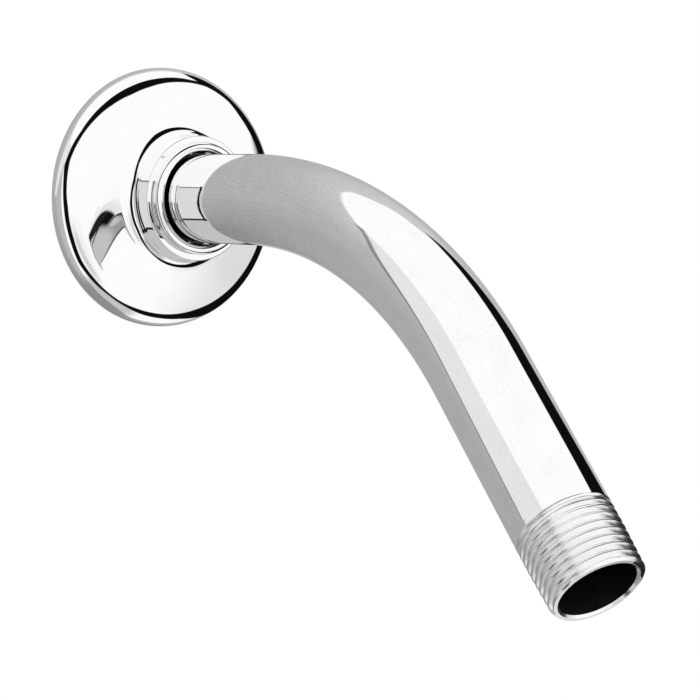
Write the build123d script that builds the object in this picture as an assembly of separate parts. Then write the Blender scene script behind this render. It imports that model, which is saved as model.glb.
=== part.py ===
from build123d import *
import os
from math import atan2, cos, degrees, radians, sin, sqrt, tan

# Shower arm: a bent tube that screws into the wall, and the domed flange that slips over it.
# Millimetres. The wall is the plane y = 0, the arm leaves it towards -Y and bends down towards -Z.
# The origin is the centre of the flange's back, on the axis of the arm's inlet.

# Tube of the arm
tube_diameter = 21.34
tube_wall = 2.17
inlet_stub = 14.0        # behind the wall, screwed into the elbow there
inlet_run = 38.0         # straight, from the wall to the bend
bend_radius = 120.0      # at the tube's centre line
bend_angle = 45.0
outlet_run = 57.0        # straight, from the bend to the tip

# Tapered pipe thread at both ends: the cone that its crests lie on, and its grooves, turned as rings
thread_cone = 9.92       # length of the cone, from the tip to the plain tube
thread_taper = 1 / 16    # of diameter, along the thread
thread_pitch = 1.814     # 14 turns to the inch
thread_depth = 1.02
thread_angle = 60.0      # between the flanks of a groove
thread_root = 0.3        # flat at the bottom of a groove
thread_full = 13.55      # length with grooves of full depth, from the tip
thread_runout = 4.95     # length after that, where the grooves run out
lead_chamfer = 0.6       # outside, at the tip
mouth_chamfer = 0.5      # inside, at the tip

# Flange: domed disc
rim_diameter = 63.5
side_height = 0.97       # straight side of the rim, from the wall
rim_round = 6.0
dome_radius = 110.0
wall = 1.8

# Flange: hub and the bead round its mouth
mouth_gap = 0.6          # between the mouth and the tube, on the radius
bead_radius = 1.15
shoulder = 1.53          # from the bead out to the side of the hub
hub_rise = 6.95          # from the dome to the top of the hub
hub_fillet = 3.5
hub_edge_round = 0.3

# Flange: land inside the hub that rides on the tube
slip_clearance = 0.3     # on the radius
land_rise = 0.75         # from the dome to the land
land_width = 3.0

# Sizes that follow from those
tube_radius = tube_diameter / 2
bore_radius = tube_radius - tube_wall
thread_tip_radius = tube_radius - thread_cone * thread_taper / 2
mouth_radius = tube_radius + mouth_gap
hub_radius = mouth_radius + 2 * bead_radius + shoulder
rim_radius = rim_diameter / 2
rim_centre = rim_radius - rim_round     # of the rounding, from the axis
dome_centre = side_height - sqrt((dome_radius - rim_round)**2 - rim_centre**2)
face_height = dome_centre + sqrt(dome_radius**2 - hub_radius**2)
hub_height = face_height + hub_rise
land_start = face_height + land_rise

# Half sections are drawn with x as the radius and y as the distance along the axis of the turned piece.
from_wall = Plane(origin=(0, 0, 0), x_dir=(1, 0, 0), z_dir=(0, 0, -1))


def rounded(section, corner, radius):
    """Rounds the corner of a half section that lies nearest to a point."""
    return fillet(section.vertices().sort_by_distance(corner)[0], radius)


def turned(section, plane):
    """Turns a half section about the y axis of a plane."""
    return revolve(plane * section, Axis(plane.origin, plane.y_dir))


def thread_groove(from_tip):
    """Half section of one groove, at its distance from the tip, with its mouth open at the plain tube's radius."""
    crest = min(tube_radius, thread_tip_radius + from_tip * thread_taper / 2)
    left = thread_full + thread_runout - from_tip
    root = crest - thread_depth * min(1, left / thread_runout)
    root_reach = thread_root / 2
    mouth_reach = root_reach + (tube_radius - root) * tan(radians(thread_angle / 2))
    return make_face(
        Polyline(
            (tube_radius, -from_tip - mouth_reach),
            (root, -from_tip - root_reach),
            (root, -from_tip + root_reach),
            (tube_radius, -from_tip + mouth_reach),
            close=True,
        )
    )


def tube_end(run, plane):
    """One straight end of the tube: plain at the bend, the thread and its chamfers at the tip."""
    section = make_face(
        Polyline(
            (bore_radius, 0),
            (tube_radius, 0),
            (tube_radius, run - thread_cone),
            (thread_tip_radius + lead_chamfer * thread_taper / 2, run - lead_chamfer),
            (thread_tip_radius - lead_chamfer, run),
            (bore_radius + mouth_chamfer, run),
            (bore_radius, run - mouth_chamfer),
            close=True,
        )
    )
    for groove in range(int((thread_full + thread_runout) / thread_pitch)):
        section -= Pos(0, run) * thread_groove((groove + 0.5) * thread_pitch)
    return turned(section, plane)


def make_arm():
    """The whole arm in one piece: inlet end, bend and outlet end."""
    turn = radians(bend_angle)
    outlet_dir = Vector(0, -cos(turn), -sin(turn))
    bend_start = Vector(0, -inlet_run, 0)
    bend_centre = bend_start - Vector(0, 0, bend_radius)
    bend_end = bend_centre + Vector(0, -sin(turn), cos(turn)) * bend_radius

    inlet_plane = Plane(origin=bend_start, x_dir=(1, 0, 0), z_dir=(0, 0, 1))
    outlet_plane = Plane(origin=bend_end, x_dir=(1, 0, 0), z_dir=Vector(1, 0, 0).cross(outlet_dir))
    ring = Circle(tube_radius) - Circle(bore_radius)
    bend = revolve(Plane(bend_start, z_dir=(0, -1, 0)) * ring, Axis(bend_centre, (1, 0, 0)), bend_angle)

    return tube_end(inlet_run + inlet_stub, inlet_plane) + bend + tube_end(outlet_run, outlet_plane)


def domed_disc(inset):
    """Half section of the disc, drawn in from the outside by an even inset: side, rounded rim and dome."""
    radius = rim_radius - inset
    meet = degrees(atan2(side_height - dome_centre, rim_centre))
    outline = Polyline((0, dome_centre + dome_radius - inset), (0, 0), (radius, 0), (radius, side_height))
    outline += CenterArc((rim_centre, side_height), rim_round - inset, 0, meet)
    outline += CenterArc((0, dome_centre), dome_radius - inset, meet, 90 - meet)
    return make_face(outline)


def band(radius, start, end):
    """Half section of a plain cylinder between two distances from the wall."""
    return Pos(0, start) * Rectangle(radius, end - start, align=(Align.MIN, Align.MIN))


def make_flange():
    """The flange in one piece: hollow domed disc, filleted hub, bead at the mouth, land on the tube."""
    bead_centre_radius = mouth_radius + bead_radius
    bead_height = hub_height + bead_radius
    mouth_height = bead_height + bead_radius
    land_radius = tube_radius + slip_clearance
    relief_radius = hub_radius - wall

    body = domed_disc(0) + band(hub_radius, 0, hub_height)
    body = rounded(body, (hub_radius, face_height), hub_fillet)
    body = rounded(body, (hub_radius, hub_height), hub_edge_round)
    body += Pos(bead_centre_radius, bead_height) * Circle(bead_radius)
    body += band(bead_centre_radius, land_start, bead_height)

    body -= domed_disc(wall)
    body -= band(relief_radius, 0, land_start)
    body -= band(land_radius, 0, mouth_height)
    body -= band(mouth_radius, land_start + land_width, mouth_height)
    return turned(body, from_wall)


os.makedirs("parts", exist_ok=True)
export_step(make_arm(), "parts/shower_arm.step")
export_step(make_flange(), "parts/wall_flange.step")
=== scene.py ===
"""Dressed shower arm: a chrome tube with cut pipe threads, and the domed wall flange that slides on it."""
import logging
import math
from dataclasses import dataclass, field, fields
from enum import Enum
from typing import Optional, Sequence, Union

import bpy
from mathutils import Matrix, Vector


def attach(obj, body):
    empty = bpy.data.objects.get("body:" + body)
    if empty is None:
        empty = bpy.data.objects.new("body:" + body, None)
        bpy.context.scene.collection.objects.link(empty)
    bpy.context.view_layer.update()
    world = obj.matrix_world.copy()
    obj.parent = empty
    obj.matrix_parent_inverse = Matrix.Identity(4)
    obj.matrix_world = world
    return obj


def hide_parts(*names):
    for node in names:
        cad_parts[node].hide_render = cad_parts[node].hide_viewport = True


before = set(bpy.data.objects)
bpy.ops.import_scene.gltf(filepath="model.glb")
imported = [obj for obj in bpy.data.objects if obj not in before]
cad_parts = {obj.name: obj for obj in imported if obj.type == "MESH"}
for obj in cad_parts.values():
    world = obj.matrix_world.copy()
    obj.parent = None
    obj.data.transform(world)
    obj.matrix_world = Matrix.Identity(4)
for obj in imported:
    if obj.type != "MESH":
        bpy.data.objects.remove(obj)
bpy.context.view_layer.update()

LOG = logging.getLogger("shower_arm")

MM = 0.001
FULL_TURN = 2.0 * math.pi
FULL_CIRCLE = 360.0
HALF_CIRCLE = 180.0
SHARP_ANGLE = math.radians(38.0)
NOISE_MIDDLE = 0.5
TUBE_RADIUS = 10.67

GEOMETRY_TREE = "GeometryNodeTree"
SHADER_TREE = "ShaderNodeTree"
FLOAT = "NodeSocketFloat"
VECTOR = "NodeSocketVector"
GEOMETRY = "NodeSocketGeometry"
MATERIAL = "NodeSocketMaterial"

Socket = bpy.types.NodeSocket
Tree = bpy.types.NodeTree
Wire = Union[Socket, float]
Point = tuple[float, float]
Triple = tuple[float, float, float]
Face = tuple[int, ...]
Span = tuple[float, ...]


class Body(Enum):
    """The two bodies that pieces ride on."""

    ARM = "arm"
    FLANGE = "flange"


class Side(Enum):
    """Which way along the tube a threaded end looks; the value is the sign of the helix there."""

    INLET = 1.0
    OUTLET = -1.0


class Graph:
    """Adds nodes to a tree and wires them, so that a tree reads like a formula."""

    def __init__(self, tree: Tree) -> None:
        """Keeps the tree that nodes are added to."""
        self.tree = tree

    @property
    def takes(self) -> Sequence[Socket]:
        """The sockets of a group's named inputs."""
        return self.tree.nodes["takes"].outputs

    def give(self, name: str, value: Socket) -> None:
        """Wires a value to one of a group's named outputs."""
        self.feed(self.tree.nodes["gives"].inputs[name], value)

    def node(self, kind: str, **settings: object) -> bpy.types.Node:
        """Adds one node.

        Args:
            kind: Blender's name of the node type.
            settings: properties of the node, such as operation.

        Returns:
            The new node.
        """
        made = self.tree.nodes.new(kind)
        for name, value in settings.items():
            setattr(made, name, value)
        return made

    def feed(self, socket: Socket, value: object) -> None:
        """Wires a value into a socket, or sets it there if it is a plain number, colour or vector.

        Args:
            socket: the input socket.
            value: an output socket or a constant.
        """
        if isinstance(value, Socket):
            self.tree.links.new(value, socket)
        else:
            socket.default_value = value

    def wired(self, kind: str, inputs: dict[str, object], **settings: object) -> Socket:
        """Adds one node with its named inputs filled.

        Args:
            kind: Blender's name of the node type.
            inputs: wires and constants for its named inputs.
            settings: properties of the node, such as operation.

        Returns:
            The node's first output.
        """
        made = self.node(kind, **settings)
        for name, value in inputs.items():
            self.feed(made.inputs[name], value)
        return made.outputs[0]

    def group(self, tree: Tree, inputs: dict[str, object]) -> Sequence[Socket]:
        """Places another tree as a group.

        Args:
            tree: the group's tree.
            inputs: wires and constants for its named inputs.

        Returns:
            The group's outputs.
        """
        kind = "GeometryNodeGroup" if tree.bl_idname == GEOMETRY_TREE else "ShaderNodeGroup"
        return self.wired(kind, inputs, node_tree=tree).node.outputs

    def math(self, operation: str, *values: Wire) -> Socket:
        """Adds a Math node.

        Args:
            operation: the node's operation.
            values: its inputs, in order.

        Returns:
            The result's socket.
        """
        made = self.node("ShaderNodeMath", operation=operation)
        for socket, value in zip(made.inputs, values):
            self.feed(socket, value)
        return made.outputs[0]

    def step(self, value: Wire, start: Wire, end: Wire) -> Socket:
        """Smooth step from 0 at start to 1 at end; it falls where start lies above end.

        Args:
            value: what is measured.
            start: where the result is still 0.
            end: where the result has become 1.

        Returns:
            The mask's socket.
        """
        inputs = {"Value": value, "From Min": start, "From Max": end}
        return self.wired("ShaderNodeMapRange", inputs, interpolation_type="SMOOTHSTEP", clamp=True)

    def mask(self, value: Wire, span: Span) -> Socket:
        """Smooth mask over a span of two numbers, or of four where it also falls again.

        Args:
            value: what is measured.
            span: where the mask starts to rise and is full, and where it starts to fall and is gone.

        Returns:
            The mask's socket.
        """
        rise = self.step(value, span[0], span[1])
        return rise if len(span) == 2 else self.both(rise, self.step(value, span[3], span[2]))

    def toward(self, base: Wire, goal: Wire, mask: Wire) -> Socket:
        """Goes from a base, where a mask is 0, to a goal, where it is 1."""
        return self.math("MULTIPLY_ADD", self.math("SUBTRACT", goal, base), mask, base)

    def dim(self, tone: Wire, level: float, mask: Wire) -> Socket:
        """Multiplies a tone by a level where a mask is 1."""
        return self.math("MULTIPLY", tone, self.toward(1.0, level, mask))

    def both(self, *masks: Wire) -> Socket:
        """Multiplies masks, so that all of them have to hold.

        Args:
            masks: two masks or more.

        Returns:
            The product's socket.
        """
        result = masks[0]
        for mask in masks[1:]:
            result = self.math("MULTIPLY", result, mask)
        return result

    def xyz(self, x: Wire, y: Wire, z: Wire) -> Socket:
        """Joins three values into a vector."""
        return self.wired("ShaderNodeCombineXYZ", {"X": x, "Y": y, "Z": z})

    def parts(self, vector: Socket) -> Sequence[Socket]:
        """Splits a vector into its three values."""
        return self.wired("ShaderNodeSeparateXYZ", {"Vector": vector}).node.outputs

    def noise(self, vector: Socket, scale: float, detail: float) -> Socket:
        """The value of a noise texture on a vector."""
        return self.wired("ShaderNodeTexNoise", {"Vector": vector, "Scale": scale, "Detail": detail})

    def here(self) -> Socket:
        """The place of each point of a geometry."""
        return self.node("GeometryNodeInputPosition").outputs[0]


def new_tree(name: str, kind: str, takes: dict[str, str], gives: dict[str, str]) -> Graph:
    """Starts a node group with named inputs and outputs.

    Args:
        name: the group's name.
        kind: the type of tree.
        takes: name and socket type of each input.
        gives: name and socket type of each output.

    Returns:
        A graph on the new tree, with its input and output nodes in place.
    """
    tree = bpy.data.node_groups.new(name, kind)
    for way, sockets in (("INPUT", takes), ("OUTPUT", gives)):
        for label, socket_type in sockets.items():
            tree.interface.new_socket(name=label, in_out=way, socket_type=socket_type)
    graph = Graph(tree)
    graph.node("NodeGroupInput", name="takes")
    graph.node("NodeGroupOutput", name="gives")
    return graph


@dataclass(frozen=True)
class Streaks:
    """Fine polishing streaks, shared by the finishes."""

    name: str = "polishing_streaks"
    fine_detail: float = 3.0
    fine_share: float = 0.7
    broad_scale: float = 0.11
    broad_detail: float = 2.0

    def tree(self) -> Tree:
        """Makes the group once, and gives it again on later calls.

        Returns:
            A shader group with a vector and an amount in, and a tone and a height out.
        """
        known = bpy.data.node_groups.get(self.name)
        if known is not None:
            return known
        takes = {"Vector": VECTOR, "Amount": FLOAT}
        graph = new_tree(self.name, SHADER_TREE, takes, {"Tone": FLOAT, "Height": FLOAT})
        fine = graph.noise(graph.takes["Vector"], 1.0, self.fine_detail)
        broad = graph.noise(graph.takes["Vector"], self.broad_scale, self.broad_detail)
        centred = graph.math("SUBTRACT", graph.toward(broad, fine, self.fine_share), NOISE_MIDDLE)
        graph.give("Tone", graph.math("MULTIPLY_ADD", centred, graph.takes["Amount"], 1.0))
        graph.give("Height", fine)
        return graph.tree


@dataclass(frozen=True)
class Finish:
    """A metal surface: its tone, polish and streaks."""

    name: str
    tone: Triple
    roughness: float
    roughness_spread: float
    streak_amount: float
    streak_scale: Triple
    bump: float
    attribute: Optional[str] = None
    bump_height: float = 0.02 * MM

    def material(self) -> bpy.types.Material:
        """Makes the material.

        Returns:
            A metal whose tone, roughness and normal follow fine streaks.
        """
        made = bpy.data.materials.new(self.name)
        made.use_nodes = True
        graph = Graph(made.node_tree)
        shader = made.node_tree.nodes["Principled BSDF"]
        shader.inputs["Metallic"].default_value = 1.0
        placed = graph.wired("ShaderNodeMapping", {"Vector": self.place(graph), "Scale": self.streak_scale})
        streaks = graph.group(Streaks().tree(), {"Vector": placed, "Amount": self.streak_amount})
        tint = {"Vector": self.tone, "Scale": streaks["Tone"]}
        graph.feed(shader.inputs["Base Color"], graph.wired("ShaderNodeVectorMath", tint, operation="SCALE"))
        uneven = graph.math("SUBTRACT", streaks["Height"], NOISE_MIDDLE)
        rough = graph.math("MULTIPLY_ADD", uneven, self.roughness_spread, self.roughness)
        graph.feed(shader.inputs["Roughness"], rough)
        bump = {"Strength": self.bump, "Distance": self.bump_height, "Height": streaks["Height"]}
        graph.feed(shader.inputs["Normal"], graph.wired("ShaderNodeBump", bump))
        return made

    def place(self, graph: Graph) -> Socket:
        """Finds the vector that the streaks are laid on.

        Args:
            graph: the material's tree.

        Returns:
            The place noted in the finish's attribute, or else the object's own coordinates.
        """
        if self.attribute:
            return graph.node("ShaderNodeAttribute", attribute_name=self.attribute).outputs["Vector"]
        return graph.node("ShaderNodeTexCoord").outputs["Object"]


STRAIGHT = "straight_place"
CHROME_TONE = (0.97, 0.97, 0.972)

ARM_CHROME = Finish(
    name="arm_chrome",
    tone=CHROME_TONE,
    roughness=0.022,
    roughness_spread=0.02,
    streak_amount=0.3,
    streak_scale=(2300.0, 1300.0, 2300.0),
    bump=0.02,
    attribute=STRAIGHT,
)
THREAD_CHROME = Finish(
    name="thread_chrome",
    tone=CHROME_TONE,
    roughness=0.21,
    roughness_spread=0.06,
    streak_amount=0.2,
    streak_scale=(900.0, 1800.0, 900.0),
    bump=0.05,
    attribute=STRAIGHT,
)
# Unplated metal of the bore. Its tone is painted near-black for the shade down inside the tube.
BORE_METAL_AND_PAINTED_SHADE = Finish(
    name="bore_metal_and_painted_shade",
    tone=(0.05, 0.046, 0.042),
    roughness=0.5,
    roughness_spread=0.2,
    streak_amount=0.6,
    streak_scale=(900.0, 900.0, 900.0),
    bump=0.6,
)
FLANGE_CHROME = Finish(
    name="flange_chrome",
    tone=CHROME_TONE,
    roughness=0.02,
    roughness_spread=0.02,
    streak_amount=0.12,
    streak_scale=(1800.0, 500.0, 1800.0),
    bump=0.02,
)
# Unplated metal of the flange's mouth step and slip bore. Its tone is painted near-black for the shade in the
# gap round the tube, while the rest of the inside keeps the lighter back metal.
LAND_METAL_AND_PAINTED_SHADE = Finish(
    name="flange_land_metal_and_painted_shade",
    tone=(0.06, 0.058, 0.055),
    roughness=0.5,
    roughness_spread=0.2,
    streak_amount=0.4,
    streak_scale=(900.0, 900.0, 900.0),
    bump=0.5,
)
BACK_METAL = Finish(
    name="flange_back_metal",
    tone=(0.56, 0.55, 0.53),
    roughness=0.42,
    roughness_spread=0.2,
    streak_amount=0.3,
    streak_scale=(700.0, 700.0, 700.0),
    bump=0.5,
)


@dataclass
class PipeThread:
    """Tapered pipe thread, cut into one end of the tube. Millimetres, with taper and flank as slopes."""

    pitch: float = 25.4 / 14
    tip_radius: float = 10.36
    taper: float = 1 / 32
    depth: float = 1.02
    length: float = 19.0
    runout_start: float = 12.55
    runout_end: float = 18.8
    runout_power: float = 1.3
    runout_rise: float = 0.3
    root_flat: float = 0.3
    flank: float = math.sqrt(3.0)
    crest_round: float = 0.2
    root_round: float = 0.3
    lead_chamfer: float = 0.6
    rows_a_turn: int = 16

    def sizes(self) -> dict[str, float]:
        """The thread's sizes, by the names of the inputs that take them."""
        lengths = [size.name for size in fields(self) if size.type is float]
        return {name.replace("_", " ").title(): getattr(self, name) for name in lengths}

    def radius_tree(self) -> Tree:
        """Makes the group that gives the thread's radius at a place, once.

        Returns:
            A geometry group: distance from the tip, turn and sizes in, radius out.
        """
        known = bpy.data.node_groups.get("thread_radius")
        if known is not None:
            return known
        takes = dict.fromkeys(["From Tip", "Turn", "Tube Radius", *self.sizes()], FLOAT)
        graph = new_tree("thread_radius", GEOMETRY_TREE, takes, {"Radius": FLOAT})
        size = graph.takes
        away, tube = size["From Tip"], size["Tube Radius"]
        cone = graph.math("MULTIPLY_ADD", away, size["Taper"], size["Tip Radius"])
        crest = graph.math("MINIMUM", cone, tube)
        fade = graph.step(away, size["Runout Start"], size["Runout End"])
        fade = graph.math("POWER", fade, size["Runout Power"])
        shallow = graph.math("ADD", tube, size["Runout Rise"])
        root = graph.toward(graph.math("SUBTRACT", cone, size["Depth"]), shallow, fade)
        turns = graph.math("ADD", graph.math("DIVIDE", away, size["Pitch"]), size["Turn"])
        from_root = graph.math("MULTIPLY", graph.math("PINGPONG", turns, 0.5), size["Pitch"])
        past_flat = graph.math("MULTIPLY_ADD", size["Root Flat"], -0.5, from_root)
        flank = graph.math("MULTIPLY_ADD", past_flat, size["Flank"], root)
        cut = graph.math("SMOOTH_MAX", root, flank, size["Root Round"])
        cut = graph.math("SMOOTH_MIN", crest, cut, size["Crest Round"])
        tip = graph.math("SUBTRACT", size["Tip Radius"], size["Lead Chamfer"])
        cut = graph.math("MINIMUM", cut, graph.math("ADD", away, tip))
        graph.give("Radius", graph.math("MINIMUM", cut, tube))
        return graph.tree


@dataclass
class ShowerArm:
    """The bent tube with its two threaded ends. Millimetres."""

    tube_radius: float = TUBE_RADIUS
    bore_radius: float = 8.5
    inlet_stub: float = 14.0
    inlet_run: float = 38.0
    bend_radius: float = 120.0
    bend_angle: float = math.radians(45.0)
    outlet_run: float = 57.0
    mouth_chamfer: float = 0.5
    satin_length: float = 16.3
    seam_gap: float = 0.002
    segments: int = 192
    tube_rows: int = 120
    bore_rows: int = 40
    thread: PipeThread = field(default_factory=PipeThread)

    @property
    def length(self) -> float:
        """Length of the tube along its centre line."""
        return self.inlet_stub + self.inlet_run + self.bend_radius * self.bend_angle + self.outlet_run

    def bend_sizes(self) -> dict[str, float]:
        """The sizes of the tube's centre line, by the names of the inputs that take them."""
        return {
            "Inlet Stub": self.inlet_stub,
            "Inlet Run": self.inlet_run,
            "Bend Radius": self.bend_radius,
            "Bend Angle": self.bend_angle,
        }

    def sizes(self) -> dict[str, float]:
        """Gathers the sizes that the arm's tree takes.

        Returns:
            Each value by the name of its input.
        """
        sizes = {
            "Length": self.length,
            "Tube Radius": self.tube_radius,
            "Bore Radius": self.bore_radius,
            "Mouth Chamfer": self.mouth_chamfer,
            "Satin Length": self.satin_length,
            "Seam Gap": self.seam_gap,
        }
        sizes.update(self.bend_sizes())
        sizes.update({"Thread " + name: value for name, value in self.thread.sizes().items()})
        return sizes

    def bend_tree(self) -> Tree:
        """Makes the group that lays the straight tube along its bent centre line.

        Returns:
            A geometry group: a place on the straight tube (across, along, up) and the bend's sizes in, all in
            millimetres, and the place on the bent tube out, in metres.
        """
        takes = {"Straight": VECTOR, **dict.fromkeys(self.bend_sizes(), FLOAT)}
        graph = new_tree("bend_tube", GEOMETRY_TREE, takes, {"Place": VECTOR})
        size = graph.takes
        run, radius = size["Inlet Run"], size["Bend Radius"]
        across, along, up = graph.parts(size["Straight"])
        past = graph.math("SUBTRACT", along, graph.math("ADD", size["Inlet Stub"], run))
        turn = graph.math("MAXIMUM", graph.math("DIVIDE", past, radius), 0.0)
        turn = graph.math("MINIMUM", turn, size["Bend Angle"])
        spare = graph.math("SUBTRACT", past, graph.math("MULTIPLY", turn, radius))
        reach = graph.math("ADD", up, radius)
        sine, cosine = graph.math("SINE", turn), graph.math("COSINE", turn)
        out = graph.math("MULTIPLY_ADD", reach, sine, graph.math("MULTIPLY", spare, cosine))
        drop = graph.math("MULTIPLY", spare, sine)
        high = graph.math("SUBTRACT", graph.math("MULTIPLY", reach, cosine), drop)
        x = graph.math("MULTIPLY", across, MM)
        y = graph.math("MULTIPLY", graph.math("ADD", out, run), -MM)
        z = graph.math("MULTIPLY", graph.math("SUBTRACT", high, radius), MM)
        graph.give("Place", graph.xyz(x, y, z))
        return graph.tree

    def tree(self) -> Tree:
        """Makes the tree of the whole arm: two threads, the tube between them, the tips and the bore.

        Returns:
            A geometry tree that takes the arm's sizes, and a material each for tube, threads and bore.
        """
        takes = dict.fromkeys(self.sizes(), FLOAT)
        takes.update(dict.fromkeys(("Plating", "Thread", "Bore"), MATERIAL))
        graph = new_tree("shower_arm", GEOMETRY_TREE, takes, {"Geometry": GEOMETRY})
        plating, satin = graph.takes["Plating"], graph.takes["Thread"]
        meshes = [self.dress(graph, self.plain_tube(graph), plating)]
        for side in Side:
            cut = self.dress(graph, self.threaded_end(graph, side), satin)
            meshes.append(self.dress(graph, cut, plating, self.run_out(graph, side)))
            meshes.append(self.dress(graph, self.tip(graph, side), satin))
        # The bore takes the material whose tone is painted near-black for the shade inside it.
        meshes.append(self.dress(graph, self.bore(graph), graph.takes["Bore"]))
        bent = self.lay(graph, meshes)
        graph.give("Geometry", graph.wired("GeometryNodeRealizeInstances", {"Geometry": bent}))
        return graph.tree

    def sheet(self, graph: Graph, rows: int) -> tuple[Socket, Socket, Socket]:
        """Adds a grid that is rolled up later.

        Args:
            graph: the arm's tree.
            rows: faces along the tube.

        Returns:
            The grid's mesh, its turn of 0 to 1 and its run of 0 to 1.
        """
        grid = {"Size X": 1.0, "Size Y": 1.0, "Vertices X": self.segments + 1, "Vertices Y": rows + 1}
        mesh = graph.wired("GeometryNodeMeshGrid", grid)
        x, y, _ = graph.parts(graph.here())
        return mesh, graph.math("ADD", x, 0.5), graph.math("ADD", y, 0.5)

    @staticmethod
    def roll(graph: Graph, mesh: Socket, turn: Wire, along: Wire, radius: Wire) -> Socket:
        """Rolls a grid up into a straight tube.

        Args:
            graph: the arm's tree.
            mesh: the grid.
            turn: share of a full turn at each point.
            along: distance from the inlet tip at each point.
            radius: distance from the centre line at each point.

        Returns:
            The rolled mesh.
        """
        angle = graph.math("MULTIPLY", turn, FULL_TURN)
        across = graph.math("MULTIPLY", radius, graph.math("COSINE", angle))
        up = graph.math("MULTIPLY", radius, graph.math("SINE", angle))
        rolled = {"Geometry": mesh, "Position": graph.xyz(across, along, up)}
        return graph.wired("GeometryNodeSetPosition", rolled)

    @staticmethod
    def from_inlet(graph: Graph, side: Side, away: Wire) -> Wire:
        """Turns a distance from one end's tip into one from the inlet's tip, and the other way round."""
        return away if side is Side.INLET else graph.math("SUBTRACT", graph.takes["Length"], away)

    def plain_tube(self, graph: Graph) -> Socket:
        """The tube's outside between the two threads.

        Args:
            graph: the arm's tree.

        Returns:
            The tube's mesh.
        """
        mesh, turn, run = self.sheet(graph, self.tube_rows)
        start = graph.takes["Thread Length"]
        span = graph.math("MULTIPLY_ADD", start, -2.0, graph.takes["Length"])
        along = graph.math("MULTIPLY_ADD", run, span, start)
        return self.roll(graph, mesh, turn, along, graph.takes["Tube Radius"])

    def threaded_end(self, graph: Graph, side: Side) -> Socket:
        """One threaded end, whose rows of faces follow the helix.

        Args:
            graph: the arm's tree.
            side: which end.

        Returns:
            The end's mesh.
        """
        turns = math.ceil(self.thread.length / self.thread.pitch) + 1
        mesh, turn, run = self.sheet(graph, turns * self.thread.rows_a_turn)
        if side is Side.OUTLET:
            run = graph.math("SUBTRACT", 1.0, run)
        first_turn = -1.0 if side is Side.INLET else 0.0
        shift = graph.math("MULTIPLY_ADD", turn, side.value, first_turn)
        place = graph.math("MULTIPLY_ADD", run, float(turns), shift)
        away = graph.math("MAXIMUM", graph.math("MULTIPLY", place, graph.takes["Thread Pitch"]), 0.0)
        away = graph.math("MINIMUM", away, graph.takes["Thread Length"])
        radius = self.thread_radius(graph, side, away, turn)
        return self.roll(graph, mesh, turn, self.from_inlet(graph, side, away), radius)

    def run_out(self, graph: Graph, side: Side) -> Socket:
        """Where a threaded end is already as bright as the tube, past its last full groove."""
        away = self.from_inlet(graph, side, graph.parts(graph.here())["Y"])
        return graph.math("GREATER_THAN", away, graph.takes["Satin Length"])

    def thread_radius(self, graph: Graph, side: Side, away: Wire, turn: Wire) -> Socket:
        """Places the group that gives a thread's radius.

        Args:
            graph: the arm's tree.
            side: which end.
            away: distance from its tip.
            turn: share of a full turn.

        Returns:
            The radius's socket.
        """
        signed = graph.math("MULTIPLY", turn, -side.value)
        inputs = {"From Tip": away, "Turn": signed, "Tube Radius": graph.takes["Tube Radius"]}
        inputs.update({name: graph.takes["Thread " + name] for name in self.thread.sizes()})
        return graph.group(self.thread.radius_tree(), inputs)["Radius"]

    def tip(self, graph: Graph, side: Side) -> Socket:
        """The ring-shaped face at a tip, with the chamfer into the bore.

        Args:
            graph: the arm's tree.
            side: which end.

        Returns:
            The face's mesh.
        """
        mesh, turn, run = self.sheet(graph, 2)
        if side is Side.INLET:
            run = graph.math("SUBTRACT", 1.0, run)
        # The sheet has three lines of points, at runs of 0, a half and 1.
        past_face = graph.math("GREATER_THAN", run, 0.25)
        past_chamfer = graph.math("GREATER_THAN", run, 0.75)
        bore, chamfer = graph.takes["Bore Radius"], graph.takes["Mouth Chamfer"]
        outer = self.thread_radius(graph, side, 0.0, turn)
        radius = graph.toward(outer, graph.math("ADD", bore, chamfer), past_face)
        radius = graph.toward(radius, bore, past_chamfer)
        away = graph.math("MULTIPLY", past_chamfer, chamfer)
        return self.roll(graph, mesh, turn, self.from_inlet(graph, side, away), radius)

    def bore(self, graph: Graph) -> Socket:
        """The waterway's wall, which faces the centre line.

        Args:
            graph: the arm's tree.

        Returns:
            The wall's mesh.
        """
        mesh, turn, run = self.sheet(graph, self.bore_rows)
        start = graph.takes["Mouth Chamfer"]
        span = graph.math("MULTIPLY_ADD", start, -2.0, graph.takes["Length"])
        along = graph.math("MULTIPLY_ADD", run, span, start)
        rolled = self.roll(graph, mesh, turn, along, graph.takes["Bore Radius"])
        return graph.wired("GeometryNodeFlipFaces", {"Mesh": rolled})

    def lay(self, graph: Graph, meshes: Sequence[Socket]) -> Socket:
        """Joins straight meshes, closes their seams, notes their straight place and bends them.

        Args:
            graph: the arm's tree.
            meshes: the rolled meshes.

        Returns:
            The bent mesh.
        """
        joined = graph.node("GeometryNodeJoinGeometry")
        for mesh in meshes:
            graph.feed(joined.inputs["Geometry"], mesh)
        seams = {"Geometry": joined.outputs[0], "Distance": graph.takes["Seam Gap"]}
        merged = graph.wired("GeometryNodeMergeByDistance", seams)
        here = graph.here()
        metres = graph.wired("ShaderNodeVectorMath", {"Vector": here, "Scale": MM}, operation="SCALE")
        note = {"Geometry": merged, "Name": STRAIGHT, "Value": metres}
        settings = {"data_type": "FLOAT_VECTOR", "domain": "POINT"}
        noted = graph.wired("GeometryNodeStoreNamedAttribute", note, **settings)
        line = {name: graph.takes[name] for name in self.bend_sizes()}
        place = graph.group(self.bend_tree(), {"Straight": here, **line})["Place"]
        return graph.wired("GeometryNodeSetPosition", {"Geometry": noted, "Position": place})

    @staticmethod
    def dress(graph: Graph, mesh: Socket, material: Socket, where: Union[Wire, bool] = True) -> Socket:
        """Gives a mesh, or the faces of it where a mask holds, its material."""
        inputs = {"Geometry": mesh, "Selection": where, "Material": material}
        return graph.wired("GeometryNodeSetMaterial", inputs)

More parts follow.
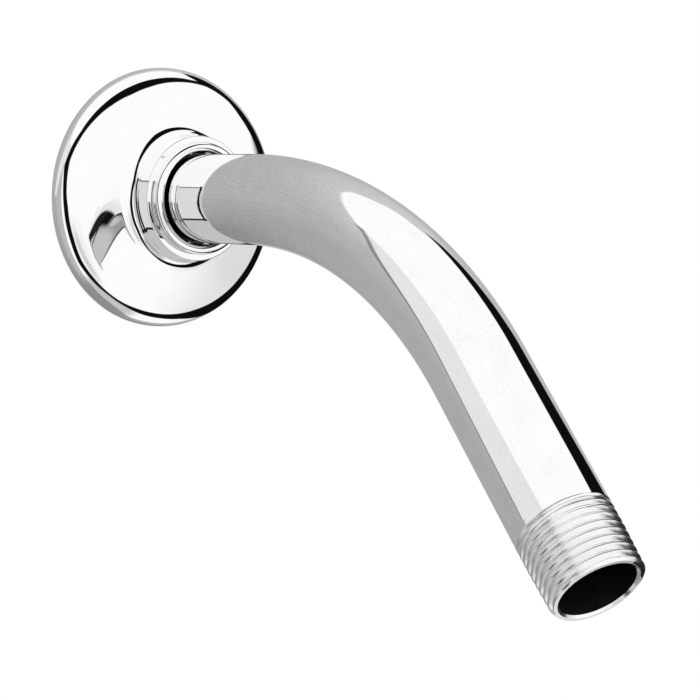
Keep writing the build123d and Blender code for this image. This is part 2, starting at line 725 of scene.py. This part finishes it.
    def build(self) -> bpy.types.Object:
        """Builds the arm as one plain mesh and fixes it to its body.

        Returns:
            The arm's object.
        """
        inputs = {
            "Plating": ARM_CHROME.material(),
            "Thread": THREAD_CHROME.material(),
            "Bore": BORE_METAL_AND_PAINTED_SHADE.material(),
        }
        piece = grown("arm_tube", self.tree(), {**self.sizes(), **inputs})
        settle(piece, Body.ARM, "shower_arm")
        return piece


@dataclass
class WallFlange:
    """The domed flange, turned from one half section. Millimetres.

    A point of the section is its radius and its distance from the wall.
    """

    rim_radius: float = 31.75
    side_height: float = 0.97
    rim_round: float = 6.0
    dome_radius: float = 110.0
    wall: float = 1.8
    tube_radius: float = TUBE_RADIUS
    mouth_gap: float = 0.6
    bead_radius: float = 1.15
    bead_start: float = -0.42 * math.pi
    shoulder: float = 1.53
    hub_rise: float = 6.95
    hub_fillet: float = 3.5
    hub_edge_round: float = 0.3
    slip_clearance: float = 0.3
    land_rise: float = 0.75
    land_width: float = 3.0
    back_edge_round: float = 0.25
    back_edge_steps: int = 5
    rim_steps: int = 64
    dome_steps: int = 40
    fillet_steps: int = 40
    hub_edge_steps: int = 20
    bead_steps: int = 48
    inner_dome_steps: int = 16
    inner_rim_steps: int = 20
    land_rows: int = 2
    segments: int = 256

    def __post_init__(self) -> None:
        """Works out the places that follow from the sizes."""
        self.mouth_radius = self.tube_radius + self.mouth_gap
        self.hub_radius = self.mouth_radius + 2 * self.bead_radius + self.shoulder
        self.rim_centre = self.rim_radius - self.rim_round
        reach = self.dome_radius - self.rim_round
        self.dome_centre = self.side_height - math.sqrt(reach**2 - self.rim_centre**2)
        self.face_height = self.dome_centre + math.sqrt(self.dome_radius**2 - self.hub_radius**2)
        self.hub_height = self.face_height + self.hub_rise
        self.land_start = self.face_height + self.land_rise
        self.rim_meet = math.atan2(self.side_height - self.dome_centre, self.rim_centre)

    @staticmethod
    def arc(centre: Point, radius: float, start: float, end: float, steps: int) -> list[Point]:
        """Points on an arc.

        Args:
            centre: the arc's centre.
            radius: its radius.
            start: angle of its first point.
            end: angle of its last point.
            steps: how many points, both ends among them.

        Returns:
            The points, in order.
        """
        angles = [start + (end - start) * i / (steps - 1) for i in range(steps)]
        return [(centre[0] + radius * math.cos(a), centre[1] + radius * math.sin(a)) for a in angles]

    def plated_section(self) -> list[Point]:
        """The half section's outside.

        Returns:
            Its points, from the rim's back edge to the inside of the bead.
        """
        edge = self.back_edge_round
        centre = (self.rim_radius - edge, edge)
        points = self.arc(centre, edge, -math.pi / 2, 0.0, self.back_edge_steps)
        centre = (self.rim_centre, self.side_height)
        points += self.arc(centre, self.rim_round, 0.0, self.rim_meet, self.rim_steps)
        foot_radius = self.hub_radius + self.hub_fillet
        foot_reach = self.dome_radius + self.hub_fillet
        foot_height = self.dome_centre + math.sqrt(foot_reach**2 - foot_radius**2)
        foot_meet = math.atan2(foot_height - self.dome_centre, foot_radius)
        centre = (0.0, self.dome_centre)
        points += self.arc(centre, self.dome_radius, self.rim_meet, foot_meet, self.dome_steps)[1:]
        centre = (foot_radius, foot_height)
        points += self.arc(centre, self.hub_fillet, foot_meet + math.pi, math.pi, self.fillet_steps)[1:]
        edge = self.hub_edge_round
        centre = (self.hub_radius - edge, self.hub_height - edge)
        points += self.arc(centre, edge, 0.0, math.pi / 2, self.hub_edge_steps)
        centre = (self.mouth_radius + self.bead_radius, self.hub_height + self.bead_radius)
        points += self.arc(centre, self.bead_radius, self.bead_start, math.pi, self.bead_steps)
        return points

    def bare_section(self) -> list[Point]:
        """The half section's inside.

        Returns:
            Its points, from the mouth past the land and the hollow to the back of the rim.
        """
        land_radius = self.tube_radius + self.slip_clearance
        relief_radius = self.hub_radius - self.wall
        land_end = self.land_start + self.land_width
        inner_dome = self.dome_radius - self.wall
        ceiling = self.dome_centre + math.sqrt(inner_dome**2 - relief_radius**2)
        points = [
            (self.mouth_radius, land_end),
            (land_radius, land_end),
            (land_radius, self.land_start),
            (relief_radius, self.land_start),
            (relief_radius, ceiling),
        ]
        centre = (0.0, self.dome_centre)
        start = math.atan2(ceiling - self.dome_centre, relief_radius)
        points += self.arc(centre, inner_dome, start, self.rim_meet, self.inner_dome_steps)[1:]
        centre = (self.rim_centre, self.side_height)
        inner_round = self.rim_round - self.wall
        points += self.arc(centre, inner_round, self.rim_meet, 0.0, self.inner_rim_steps)[1:]
        points.append((self.rim_radius - self.wall, 0.0))
        return points

    def build(self) -> bpy.types.Object:
        """Turns the half section into one closed mesh and fixes it to its body.

        Returns:
            The flange's object.
        """
        plated = self.plated_section()
        land_first = len(plated)
        back_first = land_first + self.land_rows
        points, faces = self.turned(plated + self.bare_section())
        finishes = (FLANGE_CHROME, LAND_METAL_AND_PAINTED_SHADE, BACK_METAL)
        piece = new_piece("flange_shell", points, faces, [finish.material() for finish in finishes])
        # The land rows get the metal with the painted shade of the gap; the rows past them get the back
        # metal.
        for face in piece.data.polygons:
            row = face.index // self.segments
            face.material_index = (row >= land_first) + (row >= back_first)
        settle(piece, Body.FLANGE, "wall_flange")
        return piece

    def turned(self, ring: Sequence[Point]) -> tuple[list[Vector], list[Face]]:
        """Turns a closed ring of section points about the arm's inlet axis.

        Args:
            ring: the closed half section.

        Returns:
            Vertices in metres, and the faces, row by row.
        """
        points = []
        for radius, away in ring:
            for i in range(self.segments):
                angle = FULL_TURN * i / self.segments
                points.append(Vector((radius * math.cos(angle), -away, radius * math.sin(angle))) * MM)
        starts = [row * self.segments for row in range(len(ring))]
        return points, ring_faces(starts + starts[:1], self.segments)


def ring_faces(starts: Sequence[int], count: int) -> list[Face]:
    """Faces between rings of points.

    Args:
        starts: index of each ring's first point.
        count: points in a ring.

    Returns:
        The faces, ring by ring.
    """
    faces = []
    for here, ahead in zip(starts, starts[1:]):
        for i in range(count):
            j = (i + 1) % count
            faces.append((here + i, ahead + i, ahead + j, here + j))
    return faces


def new_piece(
    name: str, points: Sequence[Vector], faces: Sequence[Face], materials: Sequence[bpy.types.Material]
) -> bpy.types.Object:
    """Makes an object from a mesh of points and faces.

    Args:
        name: name of the new object.
        points: its vertices.
        faces: its faces.
        materials: its materials, in the order of their slots.

    Returns:
        The object, placed in the scene.
    """
    mesh = bpy.data.meshes.new(name)
    mesh.from_pydata(points, [], faces)
    for material in materials:
        mesh.materials.append(material)
    piece = bpy.data.objects.new(name, mesh)
    bpy.context.scene.collection.objects.link(piece)
    return piece


def grown(name: str, tree: Tree, inputs: dict[str, object]) -> bpy.types.Object:
    """Runs a geometry tree and keeps its result as a plain mesh.

    Args:
        name: name of the new object.
        tree: the tree.
        inputs: values for its named inputs.

    Returns:
        An object with the plain mesh and no modifier.
    """
    piece = new_piece(name, [], [], [])
    modifier = piece.modifiers.new("grow", "NODES")
    modifier.node_group = tree
    for item in tree.interface.items_tree:
        if item.in_out == "INPUT":
            modifier[item.identifier] = inputs[item.name]
    seen = piece.evaluated_get(bpy.context.evaluated_depsgraph_get())
    mesh = bpy.data.meshes.new_from_object(seen)
    piece.modifiers.remove(modifier)
    piece.data = mesh
    mesh.name = name
    return piece


def settle(piece: bpy.types.Object, body: Body, node: str) -> None:
    """Shades a finished piece smooth up to its sharp edges, and fixes it to its body.

    Args:
        piece: the finished object.
        body: what it moves with.
        node: the CAD node that it stands for.
    """
    piece.data.shade_smooth()
    piece.data.set_sharp_from_angle(angle=SHARP_ANGLE)
    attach(piece, body.value)
    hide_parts(node)


@dataclass(frozen=True)
class Heading:
    """The way that a mirrored ray goes, as two angles in the world's tree, in degrees.

    The bearing is about the inlet's axis, where 0 is up and 90 is towards +X.
    The tilt is off the way that the arm points.
    """

    graph: Graph
    bearing: Socket
    tilt: Socket

    @classmethod
    def of(cls, graph: Graph) -> "Heading":
        """Works out both angles.

        Args:
            graph: the world's tree.

        Returns:
            The heading of the ray that the world is seen by.
        """
        x, y, z = graph.parts(graph.node("ShaderNodeTexCoord").outputs["Generated"])
        bearing = graph.math("DEGREES", graph.math("ARCTAN2", x, z))
        tilt = graph.math("DEGREES", graph.math("ARCCOSINE", graph.math("MULTIPLY", y, -1.0)))
        return cls(graph, bearing, tilt)

    def turned(self, *spans: Span) -> Socket:
        """Mask of the bearings within any of some spans.

        Args:
            spans: the spans.

        Returns:
            The mask's socket.
        """
        result = self.graph.mask(self.bearing, spans[0])
        for span in spans[1:]:
            result = self.graph.math("MAXIMUM", result, self.graph.mask(self.bearing, span))
        return result

    def tilted(self, span: Span) -> Socket:
        """Mask of the tilts within a span."""
        return self.graph.mask(self.tilt, span)

    def past(self, edge: Sequence[Point]) -> Socket:
        """How far the tilt lies past an edge, whose points are a bearing and a tilt each."""
        return self.graph.math("SUBTRACT", self.tilt, self.curve(edge, HALF_CIRCLE))

    def curve(self, points: Sequence[Point], full: float) -> Socket:
        """A value at each bearing, straight between points and closed at the back.

        Args:
            points: bearing and value of each point, in order.
            full: the largest value that a point may have.

        Returns:
            The value's socket.
        """
        first, last = points[0], points[-1]
        gap = FULL_CIRCLE - (last[0] - first[0])
        behind = last[1] + (first[1] - last[1]) * (HALF_CIRCLE - last[0]) / gap
        between = [point for point in points if point[0] > -HALF_CIRCLE]
        closed = [(-HALF_CIRCLE, behind), *between, (HALF_CIRCLE, behind)]
        places = [((bearing + HALF_CIRCLE) / FULL_CIRCLE, value / full) for bearing, value in closed]
        made = self.graph.node("ShaderNodeFloatCurve")
        line = made.mapping.curves[0].points
        line[0].location, line[1].location = places[0], places[-1]
        for place in places[1:-1]:
            line.new(*place)
        for point in line:
            point.handle_type = "VECTOR"
        made.mapping.update()
        share = self.graph.math("MULTIPLY_ADD", self.bearing, 1.0 / FULL_CIRCLE, 0.5)
        self.graph.feed(made.inputs["Value"], share)
        return self.graph.math("MULTIPLY", made.outputs[0], full)


@dataclass(frozen=True)
class Walls:
    """The white walls, with a soft shade low down on either side and a greyer one below."""

    right_bearings: Span = (88.0, 97.0, 120.0, 144.0)
    right_tilts: Span = (36.0, 56.0)
    right_depth: float = 0.2
    close_bearings: Span = (112.0, 102.0)
    close_depth: float = 0.07
    left_bearings: Span = (-178.0, -156.0, -138.0, -106.0)
    left_start: Span = (14.0, 32.0)
    left_rise: Span = (40.0, 49.0)
    left_rise_share: float = 0.75
    left_end: Span = (66.0, 57.0)
    left_depth: float = 0.36
    under_right: Span = (158.0, 168.0)
    under_left: Span = (-150.0, -162.0)
    under_tilts: Span = (62.0, 67.0)
    under_level: float = 0.56

    def tone(self, ray: Heading) -> Socket:
        """The walls' tone.

        Args:
            ray: the mirrored ray.

        Returns:
            The tone's socket.
        """
        graph = ray.graph
        right = ray.turned(self.right_bearings)
        close = graph.both(right, ray.turned(self.close_bearings))
        depth = graph.math("MULTIPLY", right, self.right_depth)
        depth = graph.math("MULTIPLY_ADD", close, self.close_depth, depth)
        tone = graph.math("SUBTRACT", 1.0, graph.both(depth, ray.tilted(self.right_tilts)))
        rise = graph.toward(ray.tilted(self.left_start), ray.tilted(self.left_rise), self.left_rise_share)
        left = graph.both(ray.turned(self.left_bearings), rise, ray.tilted(self.left_end))
        tone = graph.math("MULTIPLY_ADD", left, -self.left_depth, tone)
        under = graph.both(ray.turned(self.under_right, self.under_left), ray.tilted(self.under_tilts))
        return graph.toward(tone, self.under_level, under)


@dataclass(frozen=True)
class Seam:
    """A dark line between two walls: its bearing, half its width and its level."""

    bearing: float
    reach: float
    level: float


@dataclass(frozen=True)
class WallsAgain:
    """The same walls after a second mirror: dimmer low down and at the sides, with dark seams and rails."""

    seams: Sequence[Seam] = (Seam(-69.5, 1.8, 0.3), Seam(-147.5, 3.0, 0.02))
    seam_core: float = 0.5
    side_tilts: Span = (41.0, 43.5)
    left_bearings: Span = (-69.0, -70.0)
    left_level: float = 0.74
    below_left: Span = (-147.5, -148.5)
    below_left_tilts: Span = (22.0, 26.0)
    below_right: Span = (92.0, 98.0)
    below_levels: Span = (0.33, 0.56)
    below_rise: Span = (34.0, 54.0)
    arch_bearings: Span = (-178.0, -166.0, -112.0, -104.0)
    arch_start: Span = (20.0, 24.0)
    arch_limit: float = 36.0
    arch_growth: float = 8.0
    arch_growth_bearings: Span = (-152.0, -140.0)
    arch_fade: float = 10.0
    arch_level: float = 0.015
    pale_tilts: Span = (12.0, 17.0, 20.0, 24.0)
    pale_level: float = 0.82
    rail_bearings: Span = (52.0, 57.0, 113.0, 118.0)
    rail_start: Span = (20.0, 28.0)
    rail_end: Span = (74.0, 70.0)
    short_rail_bearings: Span = (110.0, 114.0, 129.0, 134.0)
    short_rail_end: Span = (48.0, 42.0)
    rail_level: float = 0.08

    def tone(self, ray: Heading) -> Socket:
        """The walls' tone.

        Args:
            ray: the ray, mirrored twice.

        Returns:
            The tone's socket.
        """
        graph = ray.graph
        side = ray.tilted(self.side_tilts)
        tone = graph.toward(1.0, self.left_level, graph.both(ray.turned(self.left_bearings), side))
        below = graph.both(ray.turned(self.below_left), ray.tilted(self.below_left_tilts))
        below = graph.math("MAXIMUM", below, ray.turned(self.below_right))
        tone = graph.toward(tone, graph.toward(*self.below_levels, ray.tilted(self.below_rise)), below)
        for seam in self.seams:
            away = graph.math("ABSOLUTE", graph.math("SUBTRACT", ray.bearing, seam.bearing))
            line = graph.step(away, seam.reach, seam.reach * self.seam_core)
            tone = graph.dim(tone, seam.level, graph.both(line, side))
        return self.rails(ray, self.arch(ray, tone))

    def arch(self, ray: Heading, tone: Socket) -> Socket:
        """Lays the dark arch at the lower left over a tone, with the pale line inside it.

        Args:
            ray: the ray, mirrored twice.
            tone: what lies under it.

        Returns:
            The tone's socket.
        """
        graph = ray.graph
        span = ray.turned(self.arch_bearings)
        growth = ray.turned(self.arch_growth_bearings)
        limit = graph.math("MULTIPLY_ADD", growth, self.arch_growth, self.arch_limit)
        fade = graph.step(ray.tilt, graph.math("ADD", limit, self.arch_fade), limit)
        tone = graph.dim(tone, self.arch_level, graph.both(span, ray.tilted(self.arch_start), fade))
        return graph.dim(tone, self.pale_level, graph.both(span, ray.tilted(self.pale_tilts)))

    def rails(self, ray: Heading, tone: Socket) -> Socket:
        """Lays the two dark rails on the right over a tone.

        Args:
            ray: the ray, mirrored twice.
            tone: what lies under them.

        Returns:
            The tone's socket.
        """
        graph = ray.graph
        rail = graph.both(ray.turned(self.rail_bearings), ray.tilted(self.rail_end))
        short = graph.both(ray.turned(self.short_rail_bearings), ray.tilted(self.short_rail_end))
        dark = graph.both(graph.math("MAXIMUM", rail, short), ray.tilted(self.rail_start))
        return graph.dim(tone, self.rail_level, dark)


@dataclass(frozen=True)
class Board:
    """The grey cloth board behind the object, with a dark corner at its upper left."""

    edge: Sequence[Point] = (
        (-178, 98), (-165, 99), (-130, 99), (-112, 97), (-84, 97.5), (-79, 101), (-75, 100), (-70, 103),
        (-62, 109), (-57, 113), (-51, 119.5), (-45, 120.5), (-4, 120.4), (4, 119.8), (9, 119), (14, 117.3),
        (19, 115.7), (24, 114.6), (28, 113.2), (32, 109.5), (36, 108), (48, 105), (114, 105), (125, 112),
        (150, 113), (158, 115), (163, 112.5), (168, 107), (174, 101),
    )
    edge_softness: Span = (-0.6, 0.6)
    level: float = 0.5
    top_bearings: Span = (-75.0, -45.0, 45.0, 60.0)
    top_level: float = 0.62
    under_right: Span = (150.0, 166.0)
    under_left: Span = (-150.0, -166.0)
    under_level: float = 0.28
    side_levels: Sequence[Point] = (
        (-180, 0.265), (-138, 0.35), (-80, 0.45), (60, 0.46), (86, 0.5), (98, 0.6), (126, 0.26),
    )
    side_tilts: Span = (112.0, 140.0)
    back_tilts: Span = (140.0, 162.0)
    back_level: float = 0.4
    grain: float = 0.5
    grain_scale: Point = (0.25, 1.9)
    grain_detail: float = 2.0
    corner_bearings: Span = (-50.0, -48.0, -43.0, -41.0)
    corner_depth: Span = (-1.8, -0.9, 0.0, 0.6)
    corner_level: float = 0.12

    def lay(self, ray: Heading, tone: Socket) -> Socket:
        """Lays the board over a tone.

        Args:
            ray: the mirrored ray.
            tone: what lies under it.

        Returns:
            The tone's socket.
        """
        graph = ray.graph
        past = ray.past(self.edge)
        tone = graph.toward(tone, self.cloth(ray), graph.mask(past, self.edge_softness))
        corner = graph.both(ray.turned(self.corner_bearings), graph.mask(past, self.corner_depth))
        return graph.dim(tone, self.corner_level, corner)

    def cloth(self, ray: Heading) -> Socket:
        """The cloth's own tone, from the board's front edge to its middle, with its grain.

        Args:
            ray: the mirrored ray.

        Returns:
            The tone's socket.
        """
        graph = ray.graph
        tone = graph.toward(self.level, self.top_level, ray.turned(self.top_bearings))
        tone = graph.toward(tone, self.under_level, ray.turned(self.under_right, self.under_left))
        tone = graph.toward(tone, ray.curve(self.side_levels, 1.0), ray.tilted(self.side_tilts))
        tone = graph.toward(tone, self.back_level, ray.tilted(self.back_tilts))
        across = graph.math("MULTIPLY", ray.bearing, self.grain_scale[0])
        along = graph.math("MULTIPLY", ray.tilt, self.grain_scale[1])
        weave = graph.noise(graph.xyz(across, along, 0.0), 1.0, self.grain_detail)
        uneven = graph.math("SUBTRACT", weave, NOISE_MIDDLE)
        return graph.math("MULTIPLY", tone, graph.math("MULTIPLY_ADD", uneven, self.grain, 1.0))


@dataclass(frozen=True)
class Strip:
    """The pale strip on the left, with a slanted top and a dark trim along its far edge."""

    inner: Sequence[Point] = ((-96, 127), (-84, 113.5), (-64, 96), (-58, 90))
    inner_softness: Span = (-1.5, 0.5)
    outer: Sequence[Point] = ((-97, 137), (-84, 133), (-52, 121.9), (-46, 120.5))
    outer_softness: Span = (0.5, -0.5)
    foot_bearings: Span = (-97.0, -95.0)
    top_bearing: float = -60.0
    top_softness: Span = (0.7, -0.7)
    slant: float = 0.95
    slant_start: float = 102.0
    level: float = 0.8
    trim_width: Span = (0.9, 0.4)
    trim_level: float = 0.4

    def lay(self, ray: Heading, tone: Socket) -> Socket:
        """Lays the strip over a tone.

        Args:
            ray: the mirrored ray.
            tone: what lies under it.

        Returns:
            The tone's socket.
        """
        graph = ray.graph
        outer = ray.past(self.outer)
        slant = graph.math("MAXIMUM", graph.math("SUBTRACT", ray.tilt, self.slant_start), 0.0)
        top = graph.math("MULTIPLY_ADD", slant, self.slant, self.top_bearing)
        below_top = graph.mask(graph.math("SUBTRACT", ray.bearing, top), self.top_softness)
        span = graph.both(below_top, ray.turned(self.foot_bearings))
        inside = graph.mask(ray.past(self.inner), self.inner_softness)
        lit = graph.both(span, inside, graph.mask(outer, self.outer_softness))
        tone = graph.toward(tone, self.level, lit)
        trim = graph.both(span, graph.mask(graph.math("ABSOLUTE", outer), self.trim_width))
        return graph.dim(tone, self.trim_level, trim)


@dataclass(frozen=True)
class Flags:
    """The black flags round the way that the arm points, with a rounded upper corner on the right."""

    inner: Sequence[Point] = (
        (-176, 65), (-160, 67), (-144, 70), (-128, 65), (-104, 65), (-94, 70), (-84, 73), (-70, 77),
        (-48, 65), (-32, 56), (-8, 46), (16, 41), (28, 45), (38, 60), (46, 77), (56, 80), (64, 67.5),
        (72, 62.5), (80, 63.5), (90, 64.5), (100, 66), (108, 68), (116, 67), (124, 64), (136, 63),
        (148, 61), (160, 61), (170, 63.5),
    )
    inner_softness: Span = (-1.5, 1.5)
    outer: Sequence[Point] = (
        (-176, 73.5), (-162, 80), (-144, 89), (-128, 85), (-104, 86), (-92, 89), (-84, 92), (-74, 100),
        (-60, 91), (-48, 81), (-20, 73), (2, 71), (20, 73), (30, 77), (38, 81), (41, 86), (43, 111.3),
        (48, 110), (53, 108.3), (58, 107.2), (62, 107.2), (66, 108.5), (70, 111), (75, 113.3), (79, 115),
        (92, 128), (97, 138), (108, 131), (120, 119), (130, 102), (136, 91), (146, 83), (160, 78.5),
        (170, 74),
    )
    outer_softness: Span = (0.9, -0.9)
    left_again: Span = (-152.0, -150.0, -68.0, -66.0)
    right_again: Span = (42.0, 44.0, 124.0, 128.0)
    corner_bearing: float = 36.3
    corner_softness: Span = (-0.7, 0.7)
    corner_round: float = 0.02
    corner_round_start: float = 100.0
    corner_tilts: Span = (82.0, 84.0, 110.4, 112.0)
    corner_end: Span = (46.0, 43.5)
    level: float = 0.004

    def lay(self, ray: Heading, tone: Socket, again: Socket) -> Socket:
        """Lays the flags over a tone; only their left and right sides show after a second mirror.

        Args:
            ray: the mirrored ray.
            tone: what lies under them.
            again: 1 where the ray is mirrored twice, else 0.

        Returns:
            The tone's socket.
        """
        graph = ray.graph
        inside = graph.mask(ray.past(self.inner), self.inner_softness)
        flag = graph.both(inside, graph.mask(ray.past(self.outer), self.outer_softness))
        flag = graph.math("MAXIMUM", flag, self.corner(ray))
        sides = graph.toward(1.0, ray.turned(self.left_again, self.right_again), again)
        return graph.toward(tone, self.level, graph.both(flag, sides))

    def corner(self, ray: Heading) -> Socket:
        """The rounded upper corner of the flag on the right.

        Args:
            ray: the mirrored ray.

        Returns:
            The mask's socket.
        """
        graph = ray.graph
        short = graph.math("MAXIMUM", graph.math("SUBTRACT", self.corner_round_start, ray.tilt), 0.0)
        square = graph.math("MULTIPLY", short, short)
        start = graph.math("MULTIPLY_ADD", square, self.corner_round, self.corner_bearing)
        past = graph.mask(graph.math("SUBTRACT", ray.bearing, start), self.corner_softness)
        return graph.both(past, ray.turned(self.corner_end), ray.tilted(self.corner_tilts))


@dataclass(frozen=True)
class Studio:
    """The white room round the object, and what is set up in it for the chrome to mirror."""

    walls: Walls = Walls()
    walls_again: WallsAgain = WallsAgain()
    board: Board = Board()
    strip: Strip = Strip()
    flags: Flags = Flags()
    second_mirror: float = 1.5

    def build(self) -> bpy.types.World:
        """Makes the world: plain white light, and the studio for what mirrors it.

        Returns:
            The world.
        """
        world = bpy.data.worlds.new("studio")
        bpy.context.scene.world = world
        world.use_nodes = True
        graph = Graph(world.node_tree)
        light = graph.node("ShaderNodeLightPath").outputs
        again = graph.math("GREATER_THAN", light["Glossy Depth"], self.second_mirror)
        mirrored = self.mirrored(Heading.of(graph), again)
        level = graph.toward(1.0, mirrored, light["Is Glossy Ray"])
        background = world.node_tree.nodes["Background"]
        graph.feed(background.inputs["Color"], graph.xyz(level, level, level))
        background.inputs["Strength"].default_value = 1.0
        return world

    def mirrored(self, ray: Heading, again: Socket) -> Socket:
        """The tone that chrome sees in each direction.

        Args:
            ray: the mirrored ray.
            again: 1 where the chrome is itself seen in chrome, else 0.

        Returns:
            The tone's socket.
        """
        tone = ray.graph.toward(self.walls.tone(ray), self.walls_again.tone(ray), again)
        tone = self.strip.lay(ray, self.board.lay(ray, tone))
        return self.flags.lay(ray, tone, again)


@dataclass(frozen=True)
class Floor:
    """A pale round floor below the object, which fades out towards its edge. Metres."""

    height: float = -0.2
    radius: float = 0.48
    centre: Point = (0.0, -0.075)
    solid_share: float = 0.45
    clear_share: float = 0.98
    tone: float = 0.94
    rings: int = 8
    segments: int = 96

    def build(self) -> bpy.types.Object:
        """Makes the floor, which mirrored rays pass through.

        Returns:
            The floor's object.
        """
        points = [Vector((*self.centre, self.height))]
        for ring in range(1, self.rings + 1):
            reach = self.radius * ring / self.rings
            for i in range(self.segments):
                angle = FULL_TURN * i / self.segments
                points.append(points[0] + Vector((math.cos(angle), math.sin(angle), 0.0)) * reach)
        faces = [(0, 1 + i, 1 + (i + 1) % self.segments) for i in range(self.segments)]
        faces += ring_faces([1 + ring * self.segments for ring in range(self.rings)], self.segments)
        floor = new_piece("floor", points, faces, [self.material()])
        floor.visible_glossy = False
        return floor

    def material(self) -> bpy.types.Material:
        """Makes the floor's matt white paint.

        Returns:
            A material that turns clear towards the floor's edge.
        """
        made = bpy.data.materials.new("floor_paint")
        made.use_nodes = True
        graph = Graph(made.node_tree)
        shader = made.node_tree.nodes["Principled BSDF"]
        shader.inputs["Base Color"].default_value = (self.tone, self.tone, self.tone, 1.0)
        shader.inputs["Roughness"].default_value = 1.0
        shader.inputs["Specular IOR Level"].default_value = 0.0
        x, y, _ = graph.parts(graph.node("ShaderNodeTexCoord").outputs["Object"])
        x = graph.math("SUBTRACT", x, self.centre[0])
        y = graph.math("SUBTRACT", y, self.centre[1])
        reach = graph.math("SQRT", graph.math("MULTIPLY_ADD", x, x, graph.math("MULTIPLY", y, y)))
        solid = graph.step(reach, self.radius * self.clear_share, self.radius * self.solid_share)
        graph.feed(shader.inputs["Alpha"], solid)
        return made


@dataclass(frozen=True)
class Viewpoint:
    """The camera: where it stands, in millimetres, and how it is turned, in degrees."""

    place: Triple = (-353.649, -514.598, -31.301)
    bearing: float = -39.072
    height: float = 0.171
    roll: float = 5.26
    focal_pixels: float = 2525.4
    image_pixels: float = 700.0
    sensor: float = 36.0
    nearest: float = 10.0

    def build(self) -> bpy.types.Object:
        """Sets up the camera.

        Returns:
            The camera's object.
        """
        bearing, height, roll = (math.radians(angle) for angle in (self.bearing, self.height, self.roll))
        level = Vector((math.cos(bearing), math.sin(bearing), 0.0))
        back = Vector((math.sin(bearing), -math.cos(bearing), 0.0)) * math.cos(height)
        back.z = math.sin(height)
        raised = level.cross(-back)
        right = level * math.cos(roll) + raised * math.sin(roll)
        up = raised * math.cos(roll) - level * math.sin(roll)
        turn = Matrix((right, up, back)).transposed().to_4x4()
        lens = bpy.data.cameras.new("camera")
        lens.sensor_width = self.sensor
        lens.lens = self.focal_pixels * self.sensor / self.image_pixels
        lens.clip_start = self.nearest * MM
        camera = bpy.data.objects.new("camera", lens)
        camera.matrix_world = Matrix.Translation(Vector(self.place) * MM) @ turn
        bpy.context.scene.collection.objects.link(camera)
        bpy.context.scene.camera = camera
        return camera


def main() -> None:
    """Builds the pieces and what is round them, and logs how many faces each piece has."""
    logging.basicConfig(level=logging.INFO, format="%(message)s")
    for maker in (ShowerArm(), WallFlange()):
        piece = maker.build()
        LOG.info("%s: %d faces", piece.name, len(piece.data.polygons))
    for maker in (Studio(), Floor(), Viewpoint()):
        LOG.info("%s is set up", maker.build().name)
    bpy.context.scene.view_settings.view_transform = "Standard"


if __name__ == "__main__":
    main()
